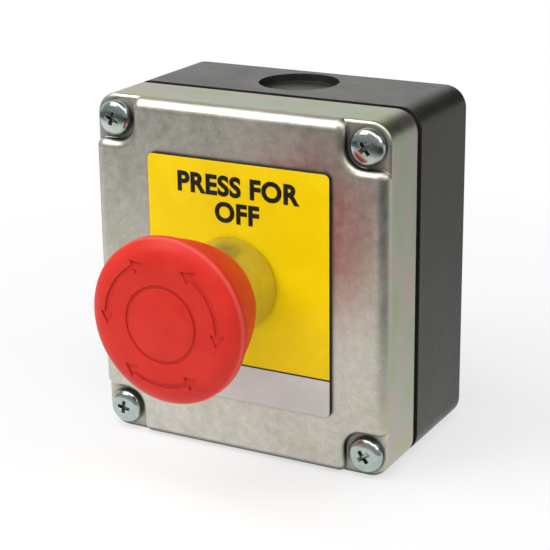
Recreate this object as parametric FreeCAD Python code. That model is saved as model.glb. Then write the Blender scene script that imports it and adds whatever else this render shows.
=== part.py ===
import FreeCAD, Part
import math
import os

Vec = FreeCAD.Vector

# Stop station: a back box, a die-cast cover and a 22 mm twist-release operator with two contact blocks.
# Millimetres. The origin is the middle of the back face, +Z is up and the user stands on the -Y side.
# A depth is counted from the back face towards the user.

# Box
box_width = 80.0
box_height = 88.2
corner_radius = 5.5
base_depth = 29.6
base_wall = 3.0
base_floor = 3.0
base_edge_radius = 1.0
seam_step_depth = 1.6
seam_step_inset = 1.0
pillar_radius = 5.0
pilot_depth = 14.0
knockout_radius = 10.2
knockout_recess = 2.0
knockout_depth = 13.5

# Holes that fasten the box to a wall
mount_spacing_x = 50.0
mount_spacing_z = 60.0
mount_hole_radius = 2.6
mount_boss_radius = 5.5
mount_boss_height = 1.2

# Seal between box and cover
gasket_thickness = 0.9
gasket_width = 1.8
gasket_eyelet_radius = 4.0

# Cover
cover_depth = 16.6
cover_wall = 2.6
cover_front_wall = 3.0
cover_edge_radius = 3.0
pocket_size = 11.2
pocket_depth = 2.4
pocket_radius = 4.6
pocket_rim_radius = 2.1
pocket_floor_edge_radius = 0.9

# Cover screws
screw_inset_x = 5.7
screw_inset_z = 5.9
screw_radius = 2.0
screw_length = 24.0
screw_tip = 1.2
screw_head_radius = 4.6
screw_head_height = 2.8
screw_head_side = 1.0
cross_length = 6.2
cross_width = 1.5
cross_depth = 1.5
screw_passage = 0.3
thread_clearance = 0.03

# Legend plate
plate_width = 49.4
plate_height = 60.5
plate_top = 31.1
plate_shift = 1.0
plate_radius = 1.3
plate_thickness = 0.9

# Operator body: collar in front of the plate, threaded barrel through the cover
hole_radius = 11.15
hole_height = 1.2
bezel_gasket_thickness = 0.4
bezel_gasket_radius = 11.3
collar_radius = 11.8
collar_length = 12.5
collar_edge_radius = 1.2
collar_foot_edge = 0.4
barrel_radius = 10.9
barrel_length = 13.0
chamber_radius = 9.6
chamber_wall = 3.5
spring_seat = 3.0
latch_groove_radius = 10.2
latch_groove_side = 0.3

# Ring nut behind the cover
nut_radius = 14.5
nut_thickness = 4.0
nut_slots = 6
nut_slot_width = 4.0
nut_slot_depth = 1.4

# Mushroom head
travel = 5.0
head_gap = 1.0
head_radius = 20.0
rim_rear = 15.4
rim_width = 1.5
rim_slope = 52.0
shoulder_radius = 5.4
face_slope = 15.0
hub_radius = 9.0
hub_groove_width = 0.8
hub_groove_depth = 0.4
skirt_radius = 13.7
skirt_waist = 0.6
skirt_sleeve = 5.5
skirt_clearance = 0.35
head_wall = 2.4
socket_radius = 7.0
rib_count = 6
rib_width = 1.2
rib_height = 4.0

# Shaft, pusher and latch
shaft_radius = 4.0
shaft_socket = 10.0
shaft_tail = 1.6
cam_flat = 3.4
running_fit = 0.1
stop_gap = 0.1
sleeve_radius = 7.4
sleeve_reach = 8.3
sleeve_wall = 1.1
twist_recess = 6.8
flange_thickness = 2.3
tail_radius = 5.5
tail_step = 0.6
pin_radius = 0.8
seal_width = 1.6
seal_thickness = 1.7
push_plate_radius = 9.5
push_plate_thickness = 2.0
push_plate_gap = 2.2
clip_radius = 5.6
clip_thickness = 0.7
clip_groove = 0.6
clip_opening = 5.0
return_wire = 0.5
return_turns = 6
twist_wire = 0.35
twist_turns = 5
coil_steps = 12
wire_sides = 6

# Adaptor that carries the contact blocks
carrier_width = 30.0
carrier_thickness = 4.0
carrier_behind_nut = 1.0
carrier_corner = 3.0
leg_width = 24.0
leg_thickness = 2.0
leg_clearance = 0.1
hook_depth = 1.0
hook_length = 1.6
hook_position = 6.0
carrier_screw_radius = 1.3
carrier_screw_head_radius = 2.4
carrier_screw_head_height = 1.6

# Contact blocks
block_width = 14.0
block_height = 36.0
block_floor_gap = 2.2
block_gap = 1.0
block_edge_radius = 0.8
block_front_wall = 2.5
block_rear_wall = 1.8
chamber_half_width = 4.5
chamber_half_height = 11.0
plunger_radius = 1.6
plunger_gap = 0.1
guide_pin_radius = 1.0
guide_pin_length = 3.0
block_clearance = 1.0
bridge_half_length = 8.6
bridge_half_width = 2.0
strip_thickness = 0.8
tip_radius = 1.2
tip_height = 0.4
tip_position = 7.4
contact_gap = 0.05
closed_tab = 4.0
open_bridge = 3.2
tab_inner_end = 6.0
tab_wall_gap = 0.1
terminal_floor = 11.5
terminal_wall = 1.2
terminal_half_width = 5.0
terminal_inset = 2.9
terminal_screw_radius = 1.4
terminal_screw_length = 4.8
terminal_head_radius = 2.6
terminal_head_height = 1.8
slot_width = 0.7
slot_depth = 0.9
contact_coil_radius = 1.8
contact_wire = 0.2
contact_turns = 6

# Depths that follow from the sizes above
seam = base_depth + gasket_thickness
front = seam + cover_depth
pocket_floor = front - pocket_depth
plate_front = front + plate_thickness
collar_foot = plate_front + bezel_gasket_thickness
nose = collar_foot + collar_length
seal_floor = nose - seal_thickness
chamber_front = nose - chamber_wall
barrel_end = front - barrel_length
spring_floor = barrel_end + spring_seat
flange_front = chamber_front - stop_gap
flange_rear = flange_front - flange_thickness
pin_depth = flange_rear + flange_thickness / 2
sleeve_front = nose + sleeve_reach
push_plate_front = barrel_end - push_plate_gap
push_plate_rear = push_plate_front - push_plate_thickness
clip_front = push_plate_rear - stop_gap
clip_rear = clip_front - clip_thickness
shaft_rear = clip_front - shaft_tail
plunger_front = push_plate_rear - plunger_gap
head_rear = nose + head_gap
socket_rear = sleeve_front + stop_gap
shaft_front = socket_rear + shaft_socket
nut_front = front - cover_front_wall
carrier_front = nut_front - nut_thickness - carrier_behind_nut
carrier_rear = carrier_front - carrier_thickness
block_front = shaft_rear - travel - block_clearance
block_depth = block_front - base_floor - block_floor_gap

# Places that follow from the sizes above
screw_x = box_width / 2 - screw_inset_x
screw_z = box_height / 2 - screw_inset_z
block_x = (block_width + block_gap) / 2
block_half_height = block_height / 2
terminal_z = block_half_height - terminal_inset
leg_inside = block_half_height + leg_clearance
seat_radius = sleeve_radius + running_fit + seal_width

# Two faces or edges closer than this are taken to lie together
touching = 1e-6


def rounded_rect(width, height, radius, depth, x=0.0, z=0.0):
    """Flat face of a rectangle with round corners, square to the depth, centred at x and z."""
    straight_x = width / 2 - radius
    straight_z = height / 2 - radius
    bow = radius * math.sqrt(0.5)
    edges = []
    for sx, sz, turned_corner in ((1, 1, False), (-1, 1, True), (-1, -1, False), (1, -1, True)):
        side = Vec(x + sx * width / 2, -depth, z + sz * straight_z)
        top = Vec(x + sx * straight_x, -depth, z + sz * height / 2)
        middle = Vec(x + sx * (straight_x + bow), -depth, z + sz * (straight_z + bow))
        begin, end = (top, side) if turned_corner else (side, top)
        if edges:
            edges.append(Part.LineSegment(edges[-1].Vertexes[-1].Point, begin).toShape())
        edges.append(Part.Arc(begin, middle, end).toShape())
    edges.append(Part.LineSegment(edges[-1].Vertexes[-1].Point, edges[0].Vertexes[0].Point).toShape())
    return Part.Face(Part.Wire(edges))


def box_outline(inset, depth):
    """Flat face of the box's outline, drawn in by an even inset."""
    return rounded_rect(box_width - 2 * inset, box_height - 2 * inset, corner_radius - inset, depth)


def prism(face, length):
    """Solid from a face, pulled towards the user."""
    return face.extrude(Vec(0, -length, 0))


def block(x0, x1, depth0, depth1, z0, z1):
    """Straight block between two corners."""
    return Part.makeBox(x1 - x0, depth1 - depth0, z1 - z0, Vec(x0, -depth1, z0))


def rod(radius, depth0, depth1, x=0.0, z=0.0):
    """Round bar along the depth."""
    return Part.makeCylinder(radius, depth1 - depth0, Vec(x, -depth0, z), Vec(0, -1, 0))


def tube(inner, outer, depth0, depth1, x=0.0, z=0.0):
    """Plain ring along the depth."""
    return rod(outer, depth0, depth1, x, z).cut(rod(inner, depth0, depth1, x, z))


def turned(start, *steps, x=0.0, z=0.0):
    """Turned solid from an outline of (radius, depth): a point is a straight run, a pair of points an arc."""
    def place(point):
        return Vec(point[0], -point[1], 0)

    edges = []
    here = start
    for step in steps + (start,):
        if isinstance(step[0], tuple):
            middle, end = step
            edges.append(Part.Arc(place(here), place(middle), place(end)).toShape())
        else:
            end = step
            edges.append(Part.LineSegment(place(here), place(end)).toShape())
        here = end
    solid = Part.Face(Part.Wire(edges)).revolve(Vec(0, 0, 0), Vec(0, 1, 0), 360)
    solid.translate(Vec(x, 0, z))
    return solid


def corner(radius, centre, degrees):
    """Point on a small round corner, used as the middle of an arc."""
    angle = math.radians(degrees)
    return (centre[0] + radius * math.cos(angle), centre[1] + radius * math.sin(angle))


def dome_middle(radius, low, high):
    """Middle point of the arc that rises from a rim at one depth to the axis at another."""
    rise = high - low
    ball = (radius ** 2 + rise ** 2) / (2 * rise)
    half = math.asin(radius / ball) / 2
    return (ball * math.sin(half), high - ball + ball * math.cos(half))


def coil(mean_radius, wire_radius, turns, depth0, depth1, x=0.0, z=0.0):
    """Wire wound round the depth between two depths, with a few straight steps to each turn."""
    height = depth1 - depth0 - 2 * wire_radius
    steps = turns * coil_steps
    points = []
    for step in range(steps + 1):
        angle = 2 * math.pi * step / coil_steps
        points.append(Vec(x + mean_radius * math.cos(angle), -depth0 - wire_radius - height * step / steps,
                          z + mean_radius * math.sin(angle)))
    path = Part.makePolygon(points)
    section = Part.makePolygon([Vec(wire_radius * math.cos(2 * math.pi * side / wire_sides),
                                    wire_radius * math.sin(2 * math.pi * side / wire_sides), 0)
                                for side in range(wire_sides + 1)])
    section.Placement = FreeCAD.Placement(points[0], FreeCAD.Rotation(Vec(0, 0, 1), points[1] - points[0]))
    return path.makePipeShell([section], True, False, 1)


def edges_at(shape, depth):
    """Edges that lie flat at one depth."""
    def flat(edge):
        box = edge.BoundBox
        return abs(box.YMin + depth) < touching and abs(box.YMax + depth) < touching

    return [edge for edge in shape.Edges if flat(edge)]


def four_corners(x, z):
    """The four mirrored places of one corner."""
    return [(sx * x, sz * z) for sx in (-1, 1) for sz in (-1, 1)]


def base_box():
    """Open back box with screw pillars, mounting bosses, a stepped rim and blind knockouts above and below."""
    body = prism(box_outline(0, 0), base_depth)
    body = body.makeFillet(base_edge_radius, edges_at(body, 0))
    body = body.cut(prism(box_outline(base_wall, base_floor), base_depth - base_floor))
    for x, z in four_corners(screw_x, screw_z):
        body = body.fuse(rod(pillar_radius, base_floor, base_depth, x, z))
    for x, z in four_corners(mount_spacing_x / 2, mount_spacing_z / 2):
        body = body.fuse(rod(mount_boss_radius, base_floor, base_floor + mount_boss_height, x, z))
    step_rear = base_depth - seam_step_depth
    step = prism(box_outline(0, step_rear), seam_step_depth)
    body = body.cut(step.cut(prism(box_outline(seam_step_inset, step_rear), seam_step_depth)))
    cuts = [rod(screw_radius + thread_clearance, base_depth - pilot_depth, base_depth, x, z)
            for x, z in four_corners(screw_x, screw_z)]
    cuts += [rod(mount_hole_radius, 0, base_floor + mount_boss_height, x, z)
             for x, z in four_corners(mount_spacing_x / 2, mount_spacing_z / 2)]
    for side in (-1, 1):
        cuts.append(Part.makeCylinder(knockout_radius, knockout_recess,
                                      Vec(0, -knockout_depth, side * (box_height / 2 - knockout_recess)),
                                      Vec(0, 0, side)))
    return body.cut(Part.makeCompound(cuts)).removeSplitter()


def pocket(size, radius, depth0, depth1):
    """The four corner pockets, or the blocks under them, as one compound."""
    places = four_corners(box_width / 2, box_height / 2)
    return Part.makeCompound([prism(rounded_rect(2 * size, 2 * size, radius, depth0, x, z), depth1 - depth0)
                              for x, z in places])


def cover():
    """Die-cast front cover: rounded front edge, corner pockets for the screws, hollow behind."""
    outline = box_outline(0, seam)
    crown = prism(outline, cover_depth)
    crown = crown.makeFillet(cover_edge_radius, edges_at(crown, front))
    crown = crown.cut(pocket(pocket_size, pocket_radius, seam, front))
    rims = [edge for edge in crown.Edges if edge.BoundBox.YMin < -front + touching and on_pocket_wall(edge)]
    crown = crown.makeFillet(pocket_rim_radius, rims)
    ledge = prism(outline, pocket_floor - seam)
    ledge = ledge.makeFillet(pocket_floor_edge_radius, edges_at(ledge, pocket_floor))
    body = crown.fuse(ledge).removeSplitter()
    hollow = prism(box_outline(cover_wall, seam), cover_depth - cover_front_wall)
    hollow = hollow.cut(pocket(pocket_size + cover_wall, pocket_radius + cover_wall,
                               pocket_floor - cover_front_wall, front))
    for x, z in four_corners(screw_x, screw_z):
        hollow = hollow.cut(rod(pillar_radius, seam, front, x, z))
    body = body.cut(hollow)
    holes = [rod(screw_radius + screw_passage, seam, front, x, z) for x, z in four_corners(screw_x, screw_z)]
    holes.append(rod(hole_radius, seam, front, 0, hole_height))
    return body.cut(Part.makeCompound(holes)).removeSplitter()


def on_pocket_wall(edge):
    """True for an edge that runs along the wall of a corner pocket."""
    middle = edge.valueAt((edge.FirstParameter + edge.LastParameter) / 2)
    inner_x = box_width / 2 - pocket_size
    inner_z = box_height / 2 - pocket_size
    inside = abs(middle.x) > inner_x - touching and abs(middle.z) > inner_z - touching
    centre_x = inner_x + pocket_radius
    centre_z = inner_z + pocket_radius
    return inside and (abs(middle.x) < centre_x or abs(middle.z) < centre_z)


def cover_gasket():
    """Flat seal between box and cover, with an eyelet round each screw."""
    outside = prism(box_outline(seam_step_inset, base_depth), gasket_thickness)
    inside = prism(box_outline(seam_step_inset + gasket_width, base_depth), gasket_thickness)
    seal = outside.cut(inside)
    for x, z in four_corners(screw_x, screw_z):
        seal = seal.fuse(rod(gasket_eyelet_radius, base_depth, seam, x, z))
    for x, z in four_corners(screw_x, screw_z):
        seal = seal.cut(rod(screw_radius + screw_passage, base_depth, seam, x, z))
    return seal.removeSplitter()


def cover_screws():
    """Four pan-head screws with a cross recess, seated on the pocket floors."""
    tip = pocket_floor - screw_length
    side = pocket_floor + screw_head_side
    top = pocket_floor + screw_head_height
    bulge = dome_middle(screw_head_radius, side, top)
    screws = []
    for x, z in four_corners(screw_x, screw_z):
        screw = turned((0, tip), (screw_radius - screw_tip / 2, tip), (screw_radius, tip + screw_tip),
                       (screw_radius, pocket_floor), (screw_head_radius, pocket_floor),
                       (screw_head_radius, side), (bulge, (0, top)), x=x, z=z)
        arms = [block(x - wide / 2, x + wide / 2, top - cross_depth, top, z - tall / 2, z + tall / 2)
                for wide, tall in ((cross_length, cross_width), (cross_width, cross_length))]
        screws.append(screw.cut(arms[0].fuse(arms[1])))
    return Part.makeCompound(screws)


def legend_plate():
    """Thin printed plate, clamped under the collar a little to one side of it."""
    middle = plate_top - plate_height / 2
    face = rounded_rect(plate_width, plate_height, plate_radius, front, plate_shift, middle)
    return prism(face, plate_thickness).cut(rod(hole_radius, front, plate_front, 0, hole_height))


def bezel_gasket():
    """Seal between the legend plate and the collar."""
    return tube(barrel_radius + running_fit, bezel_gasket_radius, plate_front, collar_foot, 0, hole_height)


def operator_body():
    """Turned body: collar, barrel, spring chamber with the latch groove, and the seat of the wiper ring."""
    edge_centre = (collar_radius - collar_edge_radius, nose - collar_edge_radius)
    groove_half = pin_radius + latch_groove_side
    groove_rear = pin_depth - travel - groove_half
    groove_front = pin_depth - travel + groove_half
    tail_bore = tail_radius + running_fit
    sleeve_bore = sleeve_radius + running_fit
    return turned((seat_radius, nose), (edge_centre[0], nose),
                  (corner(collar_edge_radius, edge_centre, 45), (collar_radius, edge_centre[1])),
                  (collar_radius, collar_foot + collar_foot_edge),
                  (collar_radius - collar_foot_edge, collar_foot),
                  (barrel_radius, collar_foot), (barrel_radius, barrel_end), (tail_bore, barrel_end),
                  (tail_bore, spring_floor), (chamber_radius, spring_floor),
                  (chamber_radius, groove_rear), (latch_groove_radius, groove_rear),
                  (latch_groove_radius, groove_front), (chamber_radius, groove_front),
                  (chamber_radius, chamber_front), (sleeve_bore, chamber_front), (sleeve_bore, seal_floor),
                  (seat_radius, seal_floor), z=hole_height)


def mounting_nut():
    """Ring nut with spanner slots, tight against the back of the cover's front wall."""
    nut_rear = nut_front - nut_thickness
    nut = tube(barrel_radius + thread_clearance, nut_radius, nut_rear, nut_front)
    for index in range(nut_slots):
        slot = block(nut_radius - nut_slot_depth, nut_radius + nut_slot_depth, nut_rear, nut_front,
                     -nut_slot_width / 2, nut_slot_width / 2)
        slot.rotate(Vec(0, 0, 0), Vec(0, 1, 0), 360 / nut_slots * index)
        nut = nut.cut(slot)
    nut.translate(Vec(0, 0, hole_height))
    return nut


def pusher_seal():
    """Wiper ring in the collar's mouth."""
    return tube(sleeve_radius + running_fit, seat_radius - thread_clearance, seal_floor, nose, 0, hole_height)


def head_cap():
    """Mushroom head: domed face with a grooved hub, thin rim, waisted skirt, ribbed hollow with a socket."""
    rim0 = head_rear + rim_rear
    rim1 = rim0 + rim_width
    groove_outer = hub_radius + hub_groove_width
    shoulder_start = corner(shoulder_radius, (0, 0), 90 - rim_slope)
    shoulder_centre = (head_radius - shoulder_start[0], rim1 - shoulder_start[1])
    shoulder_middle = corner(shoulder_radius, shoulder_centre, 90 - (rim_slope + face_slope) / 2)
    face_radius, edge = corner(shoulder_radius, shoulder_centre, 90 - face_slope)
    face_ball = (face_radius - groove_outer) / math.sin(math.radians(face_slope))
    face_centre = (groove_outer, edge - face_ball * math.cos(math.radians(face_slope)))
    face_middle = corner(face_ball, face_centre, 90 - face_slope / 2)
    face_end = face_centre[1] + face_ball
    groove_floor = face_end - hub_groove_depth
    under_rim = head_radius - rim_width / 2
    waist = ((skirt_radius + under_rim) / 2 - skirt_waist, (head_rear + rim0) / 2)
    mouth = collar_radius + skirt_clearance
    hollow_top = edge - head_wall
    hollow_radius = under_rim - head_wall
    cap = turned((0, socket_rear), (socket_radius, socket_rear), (socket_radius, hollow_top),
                 (hollow_radius, hollow_top), (hollow_radius, rim0), (mouth, head_rear + skirt_sleeve),
                 (mouth, head_rear), (skirt_radius, head_rear), (waist, (under_rim, rim0)),
                 (head_radius, rim0), (head_radius, rim1), (shoulder_middle, (face_radius, edge)),
                 (face_middle, (groove_outer, face_end)), (groove_outer, groove_floor),
                 (hub_radius, groove_floor), (hub_radius, face_end), (0, face_end))
    for index in range(rib_count):
        rib = block(socket_radius - thread_clearance, hollow_radius + thread_clearance,
                    hollow_top - rib_height, hollow_top, -rib_width / 2, rib_width / 2)
        rib.rotate(Vec(0, 0, 0), Vec(0, 1, 0), 360 / rib_count * index)
        cap = cap.fuse(rib)
    cap = cap.cut(rod(shaft_radius + thread_clearance, socket_rear, shaft_front))
    cap.translate(Vec(0, 0, hole_height))
    return cap.removeSplitter()


def head_shaft():
    """Shaft pressed into the head, with two cam flats for the latch pins and a groove for the clip."""
    groove = shaft_radius - clip_groove
    shaft = turned((0, shaft_rear), (shaft_radius, shaft_rear), (shaft_radius, clip_rear),
                   (groove, clip_rear), (groove, clip_front), (shaft_radius, clip_front),
                   (shaft_radius, shaft_front), (0, shaft_front))
    for side in (-1, 1):
        flat = block(-shaft_radius, shaft_radius, flange_rear, flange_front, cam_flat, shaft_radius)
        flat.rotate(Vec(0, 0, 0), Vec(0, 1, 0), 90 + 90 * side)
        shaft = shaft.cut(flat)
    shaft.translate(Vec(0, 0, hole_height))
    return shaft


def shaft_clip():
    """Open retaining ring in the shaft's groove, behind the push plate."""
    ring = tube(shaft_radius - clip_groove + thread_clearance, clip_radius, clip_rear, clip_front)
    ring = ring.cut(block(-clip_opening / 2, clip_opening / 2, clip_rear, clip_front, -clip_radius, 0))
    ring.translate(Vec(0, 0, hole_height))
    return ring


def pusher():
    """Sleeve that slides in the barrel: recess for the torsion spring, flange with pin holes, thin tail."""
    bore = shaft_radius + running_fit
    recess = sleeve_radius - sleeve_wall
    flange_radius = chamber_radius - stop_gap
    sleeve = turned((bore, push_plate_rear), (tail_radius - tail_step, push_plate_rear),
                    (tail_radius - tail_step, push_plate_front), (tail_radius, push_plate_front),
                    (tail_radius, flange_rear), (flange_radius, flange_rear), (flange_radius, flange_front),
                    (sleeve_radius, flange_front), (sleeve_radius, sleeve_front), (recess, sleeve_front),
                    (recess, sleeve_front - twist_recess), (bore, sleeve_front - twist_recess))
    pin_hole = Part.makeCylinder(pin_radius + thread_clearance, 2 * chamber_radius,
                                 Vec(0, -pin_depth, -chamber_radius))
    sleeve = sleeve.cut(pin_hole)
    sleeve.translate(Vec(0, 0, hole_height))
    return sleeve


def latch_pins():
    """Two pins in the pusher's flange, between the shaft's cam and the barrel's wall."""
    inner = shaft_radius + running_fit
    outer = chamber_radius - stop_gap
    pins = []
    for side in (-1, 1):
        start = Vec(0, -pin_depth, hole_height + side * inner)
        pins.append(Part.makeCylinder(pin_radius, outer - inner, start, Vec(0, 0, side)))
    return Part.makeCompound(pins)


def push_plate():
    """Disc on the pusher's stepped tail that presses both contact plungers."""
    bore = tail_radius - tail_step + thread_clearance
    return tube(bore, push_plate_radius, push_plate_rear, push_plate_front, 0, hole_height)


def return_spring():
    """Compression spring round the pusher's tail, from the barrel's floor to the flange."""
    mean = (tail_radius + chamber_radius) / 2
    return coil(mean, return_wire, return_turns, spring_floor, flange_rear, 0, hole_height)


def twist_spring():
    """Torsion spring in the pusher's recess, round the shaft."""
    mean = (shaft_radius + sleeve_radius - sleeve_wall) / 2
    return coil(mean, twist_wire, twist_turns, sleeve_front - twist_recess, sleeve_front, 0, hole_height)


def contact_carrier():
    """Adaptor plate on the barrel with two hooked legs that hold the contact blocks."""
    leg_outside = leg_inside + leg_thickness
    face = rounded_rect(carrier_width, 2 * leg_outside, carrier_corner, carrier_rear)
    plate = prism(face, carrier_thickness)
    hook_front = block_front - hook_position
    hook_rear = hook_front - hook_length
    for side in (-1, 1):
        leg = block(-leg_width / 2, leg_width / 2, hook_rear, carrier_rear,
                    min(side * leg_inside, side * leg_outside), max(side * leg_inside, side * leg_outside))
        hook_end = leg_inside - hook_depth
        hook = block(-leg_width / 2, leg_width / 2, hook_rear, hook_front,
                     min(side * hook_end, side * leg_outside), max(side * hook_end, side * leg_outside))
        plate = plate.fuse(leg).fuse(hook)
    plate = plate.cut(rod(barrel_radius + running_fit, carrier_rear, carrier_front))
    passage = Part.makeCylinder(carrier_screw_radius + thread_clearance, carrier_width / 2,
                                Vec(0, -(carrier_rear + carrier_thickness / 2), 0), Vec(1, 0, 0))
    plate = plate.cut(passage)
    plate.translate(Vec(0, 0, hole_height))
    return plate.removeSplitter()


def carrier_screw():
    """Set screw through the adaptor's edge against the barrel."""
    middle = Vec(0, -(carrier_rear + carrier_thickness / 2), hole_height)
    start = barrel_radius + stop_gap
    seat = carrier_width / 2
    across = Vec(1, 0, 0)
    shank = Part.makeCylinder(carrier_screw_radius, seat - start, middle + Vec(start, 0, 0), across)
    head = Part.makeCylinder(carrier_screw_head_radius, carrier_screw_head_height,
                             middle + Vec(seat, 0, 0), across)
    slot_front = middle + Vec(seat + carrier_screw_head_height - slot_depth, -slot_width / 2,
                              -carrier_screw_head_radius)
    slot = Part.makeBox(slot_depth, slot_width, 2 * carrier_screw_head_radius, slot_front)
    return shank.fuse(head).cut(slot).removeSplitter()


def contact_strip(tab, tip_behind):
    """Bent terminal strip of the upper side: contact tab with its tip, riser and screw tab."""
    tab_outer = chamber_half_height - tab_wall_gap
    half = bridge_half_width
    end = block_half_height
    floor = terminal_floor
    riser = tab_outer - strip_thickness
    strip = back_block(half, tab, tab + strip_thickness, tab_inner_end, tab_outer)
    strip = strip.fuse(back_block(half, tab, floor + strip_thickness, riser, tab_outer))
    strip = strip.fuse(back_block(half, floor, floor + strip_thickness, riser, end))
    if tip_behind:
        tip = back_rod(tip_radius, tab + strip_thickness, tab + strip_thickness + tip_height, tip_position)
    else:
        tip = back_rod(tip_radius, tab - tip_height, tab, tip_position)
    strip = strip.fuse(tip)
    hole = back_rod(terminal_screw_radius + thread_clearance, floor, floor + strip_thickness, terminal_z)
    return strip.cut(hole).removeSplitter()


def back_block(half_width, back0, back1, z0, z1):
    """Block of a contact block, with depths counted backwards from the block's front face."""
    return block(-half_width, half_width, block_front - back1, block_front - back0, z0, z1)


def back_rod(radius, back0, back1, z=0.0):
    """Bar of a contact block, with depths counted backwards from the block's front face."""
    return rod(radius, block_front - back1, block_front - back0, 0, z)


def block_housing():
    """Moulded housing: contact chamber, plunger guide, open terminal bays and grooves for the hooks."""
    half_width = block_width / 2
    body = back_block(half_width, 0, block_depth, -block_half_height, block_half_height)
    rear_edges = edges_at(body, block_front - block_depth)
    body = body.makeFillet(block_edge_radius, rear_edges)
    chamber = back_block(chamber_half_width, block_front_wall, block_depth - block_rear_wall,
                         -chamber_half_height, chamber_half_height)
    body = body.cut(chamber).cut(back_rod(plunger_radius + running_fit, 0, block_front_wall))
    bay_start = chamber_half_height + terminal_wall
    groove_start = block_half_height - hook_depth
    slot_half = bridge_half_width + thread_clearance
    upper = [
        back_block(terminal_half_width, terminal_floor, block_depth, bay_start, block_half_height),
        back_block(slot_half, terminal_floor, terminal_floor + strip_thickness,
                   chamber_half_height, bay_start),
        back_rod(terminal_screw_radius + thread_clearance, terminal_floor - terminal_screw_length,
                 terminal_floor, terminal_z),
        back_block(half_width, hook_position - leg_clearance, hook_position + hook_length + leg_clearance,
                   groove_start, block_half_height),
    ]
    cuts = Part.makeCompound(upper)
    return body.cut(cuts).cut(cuts.mirror(Vec(0, 0, 0), Vec(0, 0, 1)))


def both_ends(shape):
    """A piece of the upper end together with its mirror image at the lower end."""
    return Part.makeCompound([shape, shape.mirror(Vec(0, 0, 0), Vec(0, 0, 1))])


def terminal_screw():
    """Slotted screw of the upper terminal."""
    seat = terminal_floor + strip_thickness
    top = seat + terminal_head_height
    screw = back_rod(terminal_screw_radius, seat - terminal_screw_length, seat, terminal_z)
    screw = screw.fuse(back_rod(terminal_head_radius, seat, top, terminal_z))
    slot = back_block(slot_width / 2, top - slot_depth, top, terminal_z - terminal_head_radius,
                      terminal_z + terminal_head_radius)
    return screw.cut(slot).removeSplitter()


def contact_bridge(back, tips_behind):
    """Moving bridge with a silver tip at each end and a hole for the plunger's pin."""
    rear = back + strip_thickness
    bridge = back_block(bridge_half_width, back, rear, -bridge_half_length, bridge_half_length)
    tip0, tip1 = (rear, rear + tip_height) if tips_behind else (back - tip_height, back)
    for side in (-1, 1):
        bridge = bridge.fuse(back_rod(tip_radius, tip0, tip1, side * tip_position))
    return bridge.cut(back_rod(guide_pin_radius + thread_clearance, back, rear)).removeSplitter()


def plunger(bridge_back):
    """Contact plunger: round rod in front of the bridge and a thin guide pin through it."""
    bridge_rear = bridge_back + strip_thickness
    guide = back_rod(guide_pin_radius, bridge_back, bridge_rear + guide_pin_length)
    return rod(plunger_radius, block_front - bridge_back, plunger_front).fuse(guide).removeSplitter()


def contact_block(name, x, closed):
    """All pieces of one contact block, moved to their place beside the shaft's axis."""
    if closed:
        tab = closed_tab
        bridge_back = tab + strip_thickness + 2 * tip_height + contact_gap
    else:
        bridge_back = open_bridge
        tab = bridge_back + strip_thickness + 2 * tip_height + contact_gap + travel
    spring_front = block_front - bridge_back - strip_thickness
    spring_rear = block_front - block_depth + block_rear_wall
    pieces = {
        "housing": block_housing(),
        "plunger": plunger(bridge_back),
        "bridge": contact_bridge(bridge_back, not closed),
        "terminals": both_ends(contact_strip(tab, closed)),
        "terminal_screws": both_ends(terminal_screw()),
        "spring": coil(contact_coil_radius, contact_wire, contact_turns, spring_rear, spring_front),
    }
    for shape in pieces.values():
        shape.translate(Vec(x, 0, hole_height))
    return {name + "_" + key: shape for key, shape in pieces.items()}


pieces = {
    "base_box": base_box(),
    "cover": cover(),
    "cover_gasket": cover_gasket(),
    "cover_screws": cover_screws(),
    "legend_plate": legend_plate(),
    "bezel_gasket": bezel_gasket(),
    "operator_body": operator_body(),
    "mounting_nut": mounting_nut(),
    "pusher_seal": pusher_seal(),
    "head_cap": head_cap(),
    "head_shaft": head_shaft(),
    "shaft_clip": shaft_clip(),
    "pusher": pusher(),
    "push_plate": push_plate(),
    "latch_pins": latch_pins(),
    "return_spring": return_spring(),
    "twist_spring": twist_spring(),
    "contact_carrier": contact_carrier(),
    "carrier_screw": carrier_screw(),
}
pieces.update(contact_block("nc", -block_x, True))
pieces.update(contact_block("no", block_x, False))

os.makedirs("parts", exist_ok=True)
for name, shape in pieces.items():
    shape.exportStep("parts/" + name + ".step")
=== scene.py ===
import math

import bmesh
import bpy
from mathutils import Euler, Matrix, Vector


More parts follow.
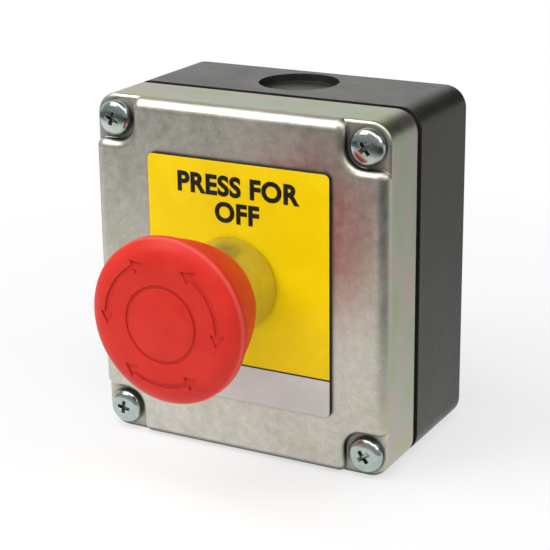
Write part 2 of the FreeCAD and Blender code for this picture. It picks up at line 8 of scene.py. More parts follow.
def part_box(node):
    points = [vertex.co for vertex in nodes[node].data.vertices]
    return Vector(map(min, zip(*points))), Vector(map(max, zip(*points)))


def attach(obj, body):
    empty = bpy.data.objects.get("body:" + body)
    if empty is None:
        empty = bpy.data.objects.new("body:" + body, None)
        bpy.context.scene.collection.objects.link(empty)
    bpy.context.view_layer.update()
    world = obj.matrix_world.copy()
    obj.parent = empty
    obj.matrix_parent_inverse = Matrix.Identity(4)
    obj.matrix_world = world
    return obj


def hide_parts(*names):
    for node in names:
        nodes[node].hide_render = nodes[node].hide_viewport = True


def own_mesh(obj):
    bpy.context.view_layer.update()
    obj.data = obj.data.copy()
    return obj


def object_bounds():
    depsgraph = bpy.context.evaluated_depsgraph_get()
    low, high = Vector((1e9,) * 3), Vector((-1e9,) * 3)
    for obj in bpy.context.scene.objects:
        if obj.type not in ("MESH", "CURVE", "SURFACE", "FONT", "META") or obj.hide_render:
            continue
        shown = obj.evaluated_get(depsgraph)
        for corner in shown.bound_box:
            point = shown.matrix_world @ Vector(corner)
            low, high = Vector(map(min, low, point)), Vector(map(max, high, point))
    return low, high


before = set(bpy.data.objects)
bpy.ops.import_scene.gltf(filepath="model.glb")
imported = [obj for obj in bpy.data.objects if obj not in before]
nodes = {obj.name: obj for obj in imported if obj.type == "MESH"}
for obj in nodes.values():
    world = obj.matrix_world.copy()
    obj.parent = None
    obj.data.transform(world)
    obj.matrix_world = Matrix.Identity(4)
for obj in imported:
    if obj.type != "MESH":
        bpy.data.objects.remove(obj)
solid_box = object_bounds()


# Back box: a black glass-filled nylon moulding with a satin skin, screwed to the wall through its floor.
# Its top and bottom walls each have a blind round knockout, and handling has turned its edges a little pale.

nylon_black = (0.022, 0.021, 0.017)
nylon_worn = (0.12, 0.12, 0.105)
nylon_roughness = 0.33
nylon_skin = 0.0009
nylon_relief = 0.00010


class Value:
    """A socket in a material. Operators on it add Math nodes, and node() adds any other node."""

    def __init__(self, tree, socket=None):
        self.tree = tree
        self.socket = socket

    def node(self, kind, settings, sockets, output=0):
        """Adds a node. Its settings are set first, then the values or links of its sockets."""
        made = self.tree.nodes.new("ShaderNode" + kind)
        for name, setting in settings.items():
            if name == "stops":
                ramp = made.color_ramp.elements
                while len(ramp) < len(setting):
                    ramp.new(0.5)
                for stop, (position, colour) in zip(ramp, setting):
                    stop.position = position
                    stop.color = (*colour, 1.0)
            else:
                setattr(made, name, setting)
        for name, value in sockets.items():
            if isinstance(value, Value):
                self.tree.links.new(value.socket, made.inputs[name])
            else:
                made.inputs[name].default_value = value
        return Value(self.tree, made.outputs[output])

    def math(self, operation, *values):
        """Adds a Math node on the given values."""
        return self.node("Math", {"operation": operation}, dict(enumerate(values)))

    def __add__(self, other):
        return self.math("ADD", self, other)

    def __radd__(self, other):
        return self.math("ADD", other, self)

    def __sub__(self, other):
        return self.math("SUBTRACT", self, other)

    def __rsub__(self, other):
        return self.math("SUBTRACT", other, self)

    def __mul__(self, other):
        return self.math("MULTIPLY", self, other)

    def __rmul__(self, other):
        return self.math("MULTIPLY", other, self)


def socket_name(word):
    """The shader's own name for a socket, such as Base Color for base_color."""
    return word.replace("_", " ").title().replace("Ior", "IOR")


def new_finish(name, **plain):
    """A material and the start of its nodes. Numbers that hold all over go straight onto the shader."""
    material = bpy.data.materials.new(name)
    material.use_nodes = True
    shader = material.node_tree.nodes["Principled BSDF"]
    for word, number in plain.items():
        shader.inputs[socket_name(word)].default_value = number
    return material, Value(material.node_tree)


def wire(material, **varying):
    """Links what varies over the surface to the shader."""
    shader = material.node_tree.nodes["Principled BSDF"]
    for word, value in varying.items():
        material.node_tree.links.new(value.socket, shader.inputs[socket_name(word)])


def mixed(start, factor, low, high):
    """Colour between low and high. A Mix node takes colours at its sockets 6 and 7 and gives one at 2."""
    low, high = (colour if isinstance(colour, Value) else (*colour, 1.0) for colour in (low, high))
    return start.node("Mix", {"data_type": "RGBA"}, {0: factor, 6: low, 7: high}, 2)


def spread(start, value, low, high, to_low=0.0, to_high=1.0):
    """Maps low..high to a new range and keeps it there."""
    return start.node("MapRange", {"clamp": True}, {"Value": value, "From Min": low, "From Max": high,
                                                  "To Min": to_low, "To Max": to_high})


def grain(start, size, detail=4.0, stretch=None):
    """Noise whose patches are about that size, on the piece's own coordinates."""
    place = start.node("TexCoord", {}, {}, "Object")
    if stretch:
        place = start.node("Mapping", {}, {"Vector": place, "Scale": stretch})
    return start.node("TexNoise", {}, {"Vector": place, "Scale": 1.0 / size, "Detail": detail,
                                       "Roughness": 0.6})


def eased(start, radius):
    """The surface normal with crisp edges eased to a radius."""
    return start.node("Bevel", {"samples": 6}, {"Radius": radius})


def edges(start, rounded, on_face=0.99, on_edge=0.82):
    """1 along the edges, 0 on the faces, by how far the rounded normal leans from the true one."""
    true = start.node("NewGeometry", {}, {}, "Normal")
    lean = start.node("VectorMath", {"operation": "DOT_PRODUCT"}, {0: rounded, 1: true}, "Value")
    return spread(start, lean, on_face, on_edge)


def bumped(start, height, depth, rounded):
    """The rounded normal with a fine relief of that depth."""
    return start.node("Bump", {}, {"Strength": 1.0, "Distance": depth, "Height": height, "Normal": rounded})


def crevice(start, reach, own=True, free=0.8, shut=0.3):
    """Painted-shade mask: 1 deep in gaps narrower than the reach, 0 in the open. Other pieces count if own is
    False.
    """
    open_sky = start.node("AmbientOcclusion", {"samples": 8, "only_local": own}, {"Distance": reach}, "AO")
    return spread(start, open_sky, free, shut)


def moulding(name, colour, pale_edge, roughness, skin=0.0005, relief=0.00002):
    """Satin plastic: slight clouding, a fine skin, painted shade in corners and paler worn edges."""
    edge_radius = 0.0003
    cloud_patch = 0.012
    wear_patch = 0.004
    corner_reach = 0.003
    dark, light, corner_shade_colour = ([part * share for part in colour] for share in (0.85, 1.3, 0.3))
    material, start = new_finish(name, specular_ior_level=0.36, specular_tint=(1.0, 0.95, 0.86, 1.0))
    rounded = eased(start, edge_radius)
    cloud = grain(start, cloud_patch, 3.0)
    fine = grain(start, skin, 3.0)
    wear = edges(start, rounded) * spread(start, grain(start, wear_patch), 0.4, 0.7)
    tone = mixed(start, spread(start, cloud * 0.5 + fine * 0.5, 0.38, 0.62), dark, light)
    # Painted shade: the moulding is darker in corners and tight hollows.
    tone = mixed(start, crevice(start, corner_reach) * 0.45, tone, corner_shade_colour)
    wire(material, base_color=mixed(start, wear * 0.5, tone, pale_edge),
         roughness=spread(start, cloud * 0.6 + fine * 0.4, 0.3, 0.7, roughness - 0.06, roughness + 0.08),
         normal=bumped(start, fine, relief, rounded))
    return material


def dress(material, *names):
    """Gives CAD nodes their finish."""
    for name in names:
        nodes[name].data.materials.clear()
        nodes[name].data.materials.append(material)


black_nylon = moulding("black_nylon", nylon_black, nylon_worn, nylon_roughness, nylon_skin, nylon_relief)
dress(black_nylon, "base_box")


# Cover gasket: a die-cut ring of black sponge rubber, squeezed between the box and the cover.
# The same rubber, dull under a dusty bloom, makes the ring under the collar and the wiper in its mouth.

rubber_black = (0.012, 0.012, 0.012)
rubber_dusty = (0.024, 0.024, 0.024)
rubber_edge = 0.0001
bloom_patch = 0.003
sponge_cell = 0.0003
sponge_relief = 0.00002

rubber, start = new_finish("black_rubber", specular_ior_level=0.3)
rounded = eased(start, rubber_edge)
bloom = grain(start, bloom_patch, 5.0)
wire(rubber, base_color=mixed(start, spread(start, bloom, 0.4, 0.7), rubber_black, rubber_dusty),
     roughness=spread(start, bloom, 0.3, 0.7, 0.65, 0.85),
     normal=bumped(start, grain(start, sponge_cell), sponge_relief, rounded))
dress(rubber, "cover_gasket", "bezel_gasket", "pusher_seal")


# Cover: a pressure die casting, tumbled smooth and left bare under a thin clear passivation.
# The passivation gives its walls faint green, pink and straw tints, and the metal's flow leaves soft clouds.

cast_dark = (0.47, 0.448, 0.393)
cast_light = (0.695, 0.665, 0.597)
cast_worn = (0.78, 0.78, 0.76)
cast_painted_shade = (0.05, 0.05, 0.045)
passivation = [(0.33, (0.42, 0.45, 0.25)), (0.43, (0.41, 0.48, 0.36)), (0.50, (0.48, 0.455, 0.38)),
               (0.57, (0.51, 0.43, 0.40)), (0.67, (0.46, 0.48, 0.29))]
tint_on_front = 0.18
tint_on_walls = 0.68
cast_edge = 0.0004
cast_relief = 0.000035
flow_cloud = 0.020
tumble_mark = 0.0025
pit_size = 0.0006
scratch_width = 0.00035
tint_patch = 0.009
cover_shade_reach = 0.0030


def along(start, vector, axis):
    """One coordinate of a vector."""
    return start.node("SeparateXYZ", {}, {0: vector}, axis)


def rearward(start):
    """How far the surface faces the rear: -1 on a front face, 0 on a side wall."""
    return along(start, start.node("NewGeometry", {}, {}, "Normal"), "Y")


def scratches(start, stretch):
    """Thin stray marks, drawn out along the axis with the small stretch."""
    return spread(start, grain(start, scratch_width, 2.0, stretch), 0.66, 0.72)


cover_metal, start = new_finish("cast_metal", metallic=1.0)
rounded = eased(start, cast_edge)
flow = grain(start, flow_cloud, 5.0, (1.0, 1.0, 0.6))
pits = grain(start, pit_size, 6.0)
tumble = grain(start, tumble_mark, 4.0)
marks = scratches(start, (0.05, 1.0, 0.8)) + scratches(start, (0.7, 1.0, 0.05))
clouds = spread(start, flow * 0.40 + tumble * 0.35 + pits * 0.25, 0.40, 0.60)
silver = mixed(start, clouds, cast_dark, cast_light)
film = grain(start, tint_patch, 1.0, (0.5, 1.0, 0.5))
tint = start.node("ValToRGB", {"stops": passivation}, {"Fac": film})
walls = spread(start, rearward(start), -0.9, -0.2)
metal = mixed(start, walls * tint_on_walls + tint_on_front, silver, tint)
# Painted shade: the metal darkens in tight gaps and corners, round the screws, along the plate and at the
# seam.
painted_shade = crevice(start, cover_shade_reach, own=False, free=0.85, shut=0.45)
metal = mixed(start, painted_shade * 0.9, metal, cast_painted_shade)
wear = edges(start, rounded)
wire(cover_metal, base_color=mixed(start, wear * 0.6, metal, cast_worn),
     roughness=spread(start, flow * 0.5 + tumble * 0.5, 0.35, 0.65, 0.35, 0.46) - wear * 0.08 + marks * 0.08,
     normal=bumped(start, pits * 0.35 + tumble * 0.65 - marks * 0.12, cast_relief, rounded))
dress(cover_metal, "cover")


# Cover screws: four zinc-plated pan-head machine screws with a cross recess, driven into the box's pillars.
# Each is cold-headed steel, so the head is smooth and the recess has sloping flanks.

low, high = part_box("cover_screws")
seat_radius = 0.0046
head_radius = 0.00445
head_height = 0.0028
head_side = 0.0009
head_ease = 0.00025
head_facets = 64
crown_radius = 0.0031
crown_drop = 0.00035
crown_bulge = crown_drop / 4
shoulder_bulge = 0.0003
shank_radius = 0.0020
tip_cone = 0.0012
recess_reach = 0.0026
recess_width = 0.0016
recess_depth = 0.0015
recess_taper = (0.45, 1.0, 0.4)
drive_angles = (20.0, -38.0, 8.0, 52.0)
seat = low.y + head_height
columns = (low.x + seat_radius, high.x - seat_radius)
rows = (high.z - seat_radius, low.z + seat_radius)
weld_distance = 1e-7
sliver = 1e-6
least_corner = 0.2
crisp_angle = math.radians(32.0)


def bow(begin, end, rise, steps):
    """Points of a circular arc after begin up to end, bulging to the left of the way by the rise."""
    begin = Vector(begin)
    end = Vector(end)
    half = (end - begin) / 2
    radius = (half.length ** 2 + rise ** 2) / (2 * rise)
    side = Vector((-half.y, half.x)).normalized()
    centre = begin + half - side * (radius - rise)
    sweep = 2 * math.asin(half.length / radius)
    arm = begin - centre
    points = []
    for step in range(1, steps + 1):
        turn = Matrix.Rotation(-sweep * step / steps, 2)
        points.append(tuple(centre + turn @ arm))
    return points


def turned(outline, height, steps):
    """Turned solid: points of (radius, y), spun round the line along Y at that height."""
    mesh = bmesh.new()
    verts = [mesh.verts.new((radius, y, height)) for radius, y in outline]
    profile = [mesh.edges.new(pair) for pair in zip(verts, verts[1:])]
    bmesh.ops.spin(mesh, geom=verts + profile, cent=(0, 0, height), axis=(0, 1, 0), angle=2 * math.pi,
                   steps=steps, use_merge=True)
    bmesh.ops.remove_doubles(mesh, verts=mesh.verts, dist=weld_distance)
    bmesh.ops.recalc_face_normals(mesh, faces=mesh.faces)
    return mesh


def ease_rings(mesh, rings, height, radius, segments):
    """Rounds the rings of a turned solid that lie at the given points of (radius, y)."""
    def on_ring(vert):
        reach = math.hypot(vert.co.x, vert.co.z - height)
        return any(abs(reach - ring[0]) < sliver and abs(vert.co.y - ring[1]) < sliver for ring in rings)

    picked = []
    for edge in mesh.edges:
        first, second = edge.verts
        level = abs(first.co.y - second.co.y) < sliver
        if level and on_ring(first) and on_ring(second) and edge.calc_face_angle(0.0) > least_corner:
            picked.append(edge)
    bmesh.ops.bevel(mesh, geom=picked, offset=radius, affect="EDGES", segments=segments, profile=0.5,
                    material=-1)


def piece(name, mesh, material):
    """Turns a bmesh into an object with smooth faces and crisp corners."""
    data = bpy.data.meshes.new(name)
    mesh.to_mesh(data)
    mesh.free()
    made = bpy.data.objects.new(name, data)
    bpy.context.scene.collection.objects.link(made)
    data.materials.append(material)
    data.shade_smooth()
    data.set_sharp_from_angle(angle=crisp_angle)
    return made


def carve(made, cutter):
    """Cuts one closed piece out of another, dissolves the slivers that are left and drops the cutter."""
    cut = made.modifiers.new("cut", "BOOLEAN")
    cut.operation = "DIFFERENCE"
    cut.solver = "EXACT"
    cut.object = cutter
    ready = made.evaluated_get(bpy.context.evaluated_depsgraph_get())
    carved = bpy.data.meshes.new_from_object(ready)
    carved.name = made.data.name
    clean = bmesh.new()
    clean.from_mesh(carved)
    bmesh.ops.remove_doubles(clean, verts=clean.verts, dist=sliver)
    bmesh.ops.dissolve_degenerate(clean, dist=sliver, edges=clean.edges)
    clean.to_mesh(carved)
    clean.free()
    made.modifiers.clear()
    made.data = carved
    made.data.set_sharp_from_angle(angle=crisp_angle)
    bpy.data.objects.remove(cutter)


zinc_shades = [(0.34, (0.37, 0.45, 0.47)), (0.50, (0.45, 0.51, 0.485)), (0.68, (0.45, 0.48, 0.40))]
zinc_recess_shade = (0.16, 0.19, 0.18)
zinc_bright = (0.85, 0.85, 0.85)
zinc_edge = 0.00015
zinc_cloud = 0.003
zinc_grain = 0.0005
zinc_relief = 0.000008
recess_shade_reach = 0.0018

zinc, start = new_finish("zinc_plate", metallic=1.0)
rounded = eased(start, zinc_edge)
bath = grain(start, zinc_cloud, 4.0)
shade = start.node("ValToRGB", {"stops": zinc_shades}, {"Fac": bath})
# Painted shade: the zinc is darker down in the cross recess.
painted_shade = crevice(start, recess_shade_reach, free=0.9, shut=0.4)
shade = mixed(start, painted_shade * 0.45, shade, zinc_recess_shade)
wire(zinc, base_color=mixed(start, edges(start, rounded) * 0.5, shade, zinc_bright),
     roughness=spread(start, bath, 0.3, 0.7, 0.14, 0.26),
     normal=bumped(start, grain(start, zinc_grain), zinc_relief, rounded))

crown = bow((0.0, low.y), (crown_radius, low.y + crown_drop), -crown_bulge, 4)
crown += bow((crown_radius, low.y + crown_drop), (head_radius, seat - head_side), -shoulder_bulge, 8)
shank = [(head_radius, seat), (shank_radius, seat), (shank_radius, high.y - tip_cone),
         (shank_radius - tip_cone / 2, high.y), (0.0, high.y)]
blank = turned([(0.0, low.y)] + crown + shank, 0.0, head_facets)
ease_rings(blank, [(head_radius, seat)], 0.0, head_ease, 3)

screw = piece("cover_screw", blank, zinc)
for turn in (0.0, math.pi / 2):
    recess = bmesh.new()
    arm = bmesh.ops.create_cube(recess, size=1.0)["verts"]
    bmesh.ops.scale(recess, verts=arm, vec=(2 * recess_reach, 2 * recess_depth, recess_width))
    bmesh.ops.scale(recess, verts=[vert for vert in arm if vert.co.y > 0], vec=recess_taper)
    bmesh.ops.rotate(recess, verts=arm, cent=(0, 0, 0), matrix=Matrix.Rotation(turn, 3, "Y"))
    bmesh.ops.translate(recess, verts=arm, vec=(0, low.y, 0))
    carve(screw, piece("cross_recess", recess, zinc))

screws = bmesh.new()
places = [(x, z) for z in rows for x in columns]
for (x, z), angle in zip(places, drive_angles):
    before = len(screws.verts)
    screws.from_mesh(screw.data)
    screws.verts.ensure_lookup_table()
    fresh = screws.verts[before:]
    turn = Matrix.Rotation(math.radians(angle), 3, "Y")
    bmesh.ops.rotate(screws, verts=fresh, cent=(0, 0, 0), matrix=turn)
    bmesh.ops.translate(screws, verts=fresh, vec=(x, 0, z))
bpy.data.objects.remove(screw)
screw_set = piece("cover_screw_set", screws, zinc)
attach(screw_set, "station")
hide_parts("cover_screws")


# Legend plate: a thin laminate with a black core, printed yellow above a fine rule and pale grey below it.
# It is held only by the collar, which clamps it to the cover, and its words are a raised film of black ink.

low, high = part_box("legend_plate")
rule_drop = 0.0507
rule_width = 0.00045
rule_top = high.z - rule_drop
rule_black = (0.02, 0.02, 0.02)
core_black = (0.018, 0.018, 0.018)
yellow_deep = (0.93, 0.66, 0.001)
yellow_bright = (0.98, 0.71, 0.002)
pale_deep = (0.64, 0.63, 0.61)
pale_bright = (0.72, 0.71, 0.69)
print_edge = 0.00015
print_cloud = 0.010
print_grain = 0.0008
print_relief = 0.000006

print_ink, start = new_finish("legend_print", specular_ior_level=0.14)
rounded = eased(start, print_edge)
upright = along(start, start.node("TexCoord", {}, {}, "Object"), "Z")
cloud = grain(start, print_cloud, 4.0)
clouding = spread(start, cloud, 0.35, 0.65)
yellow = mixed(start, clouding, yellow_deep, yellow_bright)
pale = mixed(start, clouding, pale_deep, pale_bright)
above = start.math("GREATER_THAN", upright, rule_top)
below = start.math("LESS_THAN", upright, rule_top - rule_width)
field = mixed(start, below, mixed(start, above, rule_black, yellow), pale)
side_face = start.math("GREATER_THAN", rearward(start), -0.6)
wire(print_ink, base_color=mixed(start, side_face, field, core_black),
     roughness=spread(start, cloud, 0.3, 0.7, 0.30, 0.42),
     normal=bumped(start, grain(start, print_grain), print_relief, rounded))
dress(print_ink, "legend_plate")

letter_height = 0.0047
letter_relief = 0.00004
font_size = letter_height * 1.42
letter_boldness = letter_height * 0.058
letter_spacing = 1.06
legend_lines = {"press_for": ("PRESS FOR", 0.0062), "off": ("OFF", 0.0127)}
plate_middle = (low.x + high.x) / 2
ink_black = (0.010, 0.010, 0.010)
ink_thin = (0.025, 0.024, 0.022)
ink_edge = 0.00002
ink_patch = 0.0015
ink_relief = 0.000004

black_ink, start = new_finish("black_ink", specular_ior_level=0.12)
film = grain(start, ink_patch, 4.0)
wire(black_ink, base_color=mixed(start, spread(start, film, 0.35, 0.7), ink_black, ink_thin),
     roughness=spread(start, film, 0.3, 0.7, 0.32, 0.45),
     normal=bumped(start, film, ink_relief, eased(start, ink_edge)))
for name, (words, drop) in legend_lines.items():
    curve = bpy.data.curves.new("legend_" + name, "FONT")
    curve.body = words
    curve.size = font_size
    curve.offset = letter_boldness
    curve.space_character = letter_spacing
    curve.extrude = letter_relief
    curve.align_x = "CENTER"
    curve.align_y = "CENTER"
    sketch = bpy.data.objects.new("sketch", curve)
    bpy.context.scene.collection.objects.link(sketch)
    ready = sketch.evaluated_get(bpy.context.evaluated_depsgraph_get())
    lettering = bmesh.new()
    lettering.from_mesh(ready.to_mesh())
    bpy.data.objects.remove(sketch)
    stand_up = Matrix.Rotation(math.pi / 2, 3, "X")
    bmesh.ops.rotate(lettering, verts=lettering.verts, cent=(0, 0, 0), matrix=stand_up)
    bmesh.ops.translate(lettering, verts=lettering.verts, vec=(plate_middle, low.y, high.z - drop))
    ink = piece("legend_" + name, lettering, black_ink)
    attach(ink, "station")


# Collar and barrel: one turned zinc-alloy body, satin chromed, that passes through plate and cover.
# A steel ring nut pulls it tight from behind. Shaft and latch pins inside are turned from the same steel.

# The chrome's colours are tinted yellow as a painted reflection of the yellow legend plate.
chrome_painted_yellow_dark = (0.62, 0.60, 0.40)
chrome_painted_yellow_light = (0.70, 0.68, 0.46)
turning_lay = (1.0, 8.0, 1.0)
steel_dark = (0.46, 0.46, 0.47)
steel_light = (0.58, 0.58, 0.58)


def satin_metal(name, dark, light, roughness, lay=None):
    """Machined or plated metal with a faint lay and brighter edges."""
    edge_radius = 0.0002
    cloud_patch = 0.005
    lay_width = 0.0006
    lay_relief = 0.000006
    bright = [min(1.0, part * 1.2) for part in light]
    material, start = new_finish(name, metallic=1.0)
    rounded = eased(start, edge_radius)
    cloud = grain(start, cloud_patch, 4.0)
    fine = grain(start, lay_width, 5.0, lay)
    tone = mixed(start, spread(start, cloud, 0.35, 0.65), dark, light)
    wire(material, base_color=mixed(start, edges(start, rounded) * 0.5, tone, bright),
         roughness=spread(start, cloud * 0.5 + fine * 0.5, 0.35, 0.65, roughness - 0.05, roughness + 0.07),
         normal=bumped(start, fine, lay_relief, rounded))
    return material


dress(satin_metal("satin_chrome", chrome_painted_yellow_dark, chrome_painted_yellow_light, 0.32, turning_lay), "operator_body")
dress(satin_metal("bright_steel", steel_dark, steel_light, 0.30), "mounting_nut", "head_shaft", "latch_pins")


# Mushroom head: one red thermoplastic moulding with a fine matt skin, pressed on the shaft.
# A ring groove marks its hub, and three sunk arrows, pointed at both ends, show that it is turned to release.
# Its edges are scuffed a little paler, and a painted highlight lies round the front edge of its rim as a
# paler, smoother ring.

low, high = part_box("head_cap")
axis_height = (low.z + high.z) / 2
rear = high.y
face = low.y
head_reach = (high.x - low.x) / 2
cap_facets = 192
rim_width = 0.0015
rim_setback = 0.0154
rim_rear = rear - rim_setback
rim_front = rim_rear - rim_width
rim_ease = 0.0003
under_rim = head_reach - rim_width / 2
under_rim_ease = 0.00015
dome_power = 5.0
dome_steps = 28
hub_radius = 0.0087
groove_radius = 0.0094
groove_depth = 0.00032
groove_floor = face + groove_depth
groove_ease = 0.00018
skirt_radius = 0.0137
skirt_mouth = 0.01215
sleeve_depth = 0.0055
skirt_sleeve = rear - sleeve_depth
skirt_ease = 0.0002
waist_bulge = 0.0006
waist_steps = 14
wall = 0.0024
roof = 0.0034
ceiling = face + roof
socket_radius = 0.0070
socket_setback = 0.0074
socket_rear = rear - socket_setback
shaft_radius = 0.00403
shaft_reach = 0.0174
shaft_front = rear - shaft_reach
arrow_reach = 0.0146
arrow_width = 0.0011
arrow_depth = 0.00028
arrow_tail = 34.0
arrow_sweep = 57.0
arrow_steps = 24
arrow_head_length = 0.0030
arrow_head_width = 0.0036
arrows = 3
cutter_height = 0.003

dome = []
for step in range(1, dome_steps + 1):
    way = step / dome_steps
    dome_radius = groove_radius + (head_reach - groove_radius) * way
    dome.append((dome_radius, face + (rim_front - face) * way ** dome_power))
waist = bow((under_rim, rim_rear), (skirt_radius, rear), -waist_bulge, waist_steps)
outline = [(0.0, face), (hub_radius, face), (hub_radius, groove_floor), (groove_radius, groove_floor),
           (groove_radius, face)] + dome
outline += [(head_reach, rim_rear), (under_rim, rim_rear)] + waist
outline += [(skirt_mouth, rear), (skirt_mouth, skirt_sleeve), (under_rim - wall, rim_rear),
            (under_rim - wall, ceiling), (socket_radius, ceiling), (socket_radius, socket_rear),
            (shaft_radius, socket_rear), (shaft_radius, shaft_front), (0.0, shaft_front)]
cap = turned(outline, axis_height, cap_facets)
ease_rings(cap, [(hub_radius, face), (groove_radius, face)], axis_height, groove_ease, 3)
ease_rings(cap, [(head_reach, rim_front)], axis_height, rim_ease, 4)
ease_rings(cap, [(head_reach, rim_rear), (under_rim, rim_rear)], axis_height, under_rim_ease, 3)
ease_rings(cap, [(skirt_radius, rear), (skirt_mouth, rear)], axis_height, skirt_ease, 3)


def dome_at(reach):
    """Y of the domed face at a distance from the axis."""
    for (inner, inner_y), (outer, outer_y) in zip([(groove_radius, face)] + dome, dome):
        if reach <= outer:
            return inner_y + (outer_y - inner_y) * (reach - inner) / (outer - inner)


def arrow_cutter(tail_angle):
    """Solid that sinks a two-headed arrow, clockwise from an angle, with its floor along the dome."""
    arrow = bmesh.new()
    half = arrow_width / 2
    sweep = math.radians(arrow_sweep)
    tail = [arrow.verts.new((0, 0, reach)) for reach in (arrow_reach - half, arrow_reach + half)]
    stem = bmesh.ops.spin(arrow, geom=tail + [arrow.edges.new(tail)], cent=(0, 0, 0), axis=(0, 1, 0),
                          angle=sweep, steps=arrow_steps)
    far_end = [vert for vert in stem["geom_last"] if isinstance(vert, bmesh.types.BMVert)]
    for end, angle, way in ((tail, 0.0, -1), (far_end, sweep, 1)):
        neck = sorted(end, key=lambda vert: vert.co.length)
        turn = Matrix.Rotation(angle, 3, "Y")
        barb_reaches = (arrow_reach - arrow_head_width / 2, arrow_reach + arrow_head_width / 2)
        barbs = [arrow.verts.new(turn @ Vector((0, 0, reach))) for reach in barb_reaches]
        turn = Matrix.Rotation(angle + way * arrow_head_length / arrow_reach, 3, "Y")
        tip = arrow.verts.new(turn @ Vector((0, 0, arrow_reach)))
        arrow.faces.new([barbs[0], neck[0], neck[1], barbs[1], tip])
    bmesh.ops.recalc_face_normals(arrow, faces=arrow.faces)
    for vert in arrow.verts:
        vert.co.y = dome_at(math.hypot(vert.co.x, vert.co.z)) + arrow_depth
    raised = bmesh.ops.extrude_face_region(arrow, geom=arrow.faces[:])["geom"]
    top = [vert for vert in raised if isinstance(vert, bmesh.types.BMVert)]
    bmesh.ops.translate(arrow, verts=top, vec=(0, -cutter_height, 0))
    bmesh.ops.recalc_face_normals(arrow, faces=arrow.faces)
    bmesh.ops.rotate(arrow, verts=arrow.verts, cent=(0, 0, 0), matrix=Matrix.Rotation(tail_angle, 3, "Y"))
    bmesh.ops.translate(arrow, verts=arrow.verts, vec=(0, 0, axis_height))
    return arrow


red_deep = (0.63, 0.020, 0.011)
red_bright = (0.70, 0.030, 0.017)
red_groove_shade = (0.36, 0.006, 0.004)
red_worn_and_highlight = (0.85, 0.22, 0.17)
red_edge = 0.0002
red_cloud = 0.010
red_skin = 0.0005
red_relief = 0.000012
scuff_patch = 0.003
groove_shade_reach = 0.0012
rim_highlight_band = 0.0006

red, start = new_finish("red_moulding", specular_ior_level=0.22)
rounded = eased(start, red_edge)
cloud = grain(start, red_cloud, 3.0)
skin = grain(start, red_skin, 4.0)
scuff = spread(start, grain(start, scuff_patch, 5.0), 0.5, 0.75)
tone = mixed(start, spread(start, cloud, 0.35, 0.65), red_deep, red_bright)
# Painted shade: the red is darker in the hub groove, the sunk arrows and other tight hollows of the head.
painted_shade = crevice(start, groove_shade_reach, free=0.95, shut=0.5)
tone = mixed(start, painted_shade * 0.5, tone, red_groove_shade)
place = start.node("TexCoord", {}, {}, "Object")
from_axis = start.node("Mapping", {}, {"Vector": place, "Location": (0.0, 0.0, -axis_height),
                                       "Scale": (1.0, 0.0, 1.0)})
reach = start.node("VectorMath", {"operation": "LENGTH"}, {0: from_axis}, "Value")
# Painted highlight: a paler, less rough ring round the front edge of the rim. Scuffed edges share the same
# pale colour.
rim_highlight = (spread(start, reach, head_reach - rim_highlight_band, head_reach - rim_highlight_band / 3)
       * spread(start, along(start, place, "Y"), rim_front + rim_highlight_band, rim_front))
pale_edge = start.math("MAXIMUM", edges(start, rounded) * scuff * 0.35, rim_highlight * 0.28)
wire(red, base_color=mixed(start, pale_edge, tone, red_worn_and_highlight),
     roughness=spread(start, cloud * 0.5 + skin * 0.5, 0.35, 0.65, 0.40, 0.52) - rim_highlight * 0.12,
     normal=bumped(start, skin, red_relief, rounded))

mushroom = piece("mushroom_head", cap, red)
for index in range(arrows):
    tail_angle = math.radians(arrow_tail + 360.0 / arrows * index)
    carve(mushroom, piece("arrow_cutter", arrow_cutter(tail_angle), red))
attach(mushroom, "head")
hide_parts("head_cap")


# Pusher and springs: a grey acetal sleeve and push plate that slide in the barrel, with steel wire springs.
# The clip that keeps the shaft in the sleeve is cut from the same spring steel.
# The three compression springs sit loose between seats.

wire_facets = 12
turn_steps = 32
turns = 6
springs = {"return_coil": ("return_spring", "press", 0.0005), "nc_coil": ("nc_spring", "nc_press", 0.0002),
           "no_coil": ("no_spring", "no_press", 0.0002)}
spring_dark = (0.36, 0.36, 0.38)
spring_light = (0.50, 0.50, 0.51)
acetal_grey = (0.16, 0.16, 0.165)
acetal_worn = (0.28, 0.28, 0.28)


def winding(low, high, wire_radius):
    """Round wire wound along Y that fills a box."""
    middle = (low + high) / 2
    begin = Vector((high.x - wire_radius, low.y + wire_radius, middle.z))
    steps = turns * turn_steps
    rise = (high.y - low.y - 2 * wire_radius) / steps
    coil = bmesh.new()
    bmesh.ops.create_circle(coil, cap_ends=True, radius=wire_radius, segments=wire_facets,
                            matrix=Matrix.Translation(begin))
    bmesh.ops.spin(coil, geom=coil.verts[:] + coil.edges[:] + coil.faces[:], cent=middle, axis=(0, 1, 0),
                   dvec=(0, rise, 0), angle=2 * math.pi * turns, steps=steps)
    bmesh.ops.recalc_face_normals(coil, faces=coil.faces)
    return coil


spring_wire = satin_metal("spring_wire", spring_dark, spring_light, 0.28)
for name, (node, joint, wire_radius) in springs.items():
    low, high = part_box(node)
    spring = piece(name, winding(low, high, wire_radius), spring_wire)
    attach(spring, "station")
    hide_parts(node)
    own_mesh(spring)
dress(spring_wire, "twist_spring", "shaft_clip")
dress(moulding("grey_acetal", acetal_grey, acetal_worn, 0.38), "pusher", "push_plate")


# Contact blocks: black housings hooked on a grey adaptor, one opened and one closed as the head goes in.
# The plungers are coloured by kind, the strips are brass and the terminal screws zinc plated.

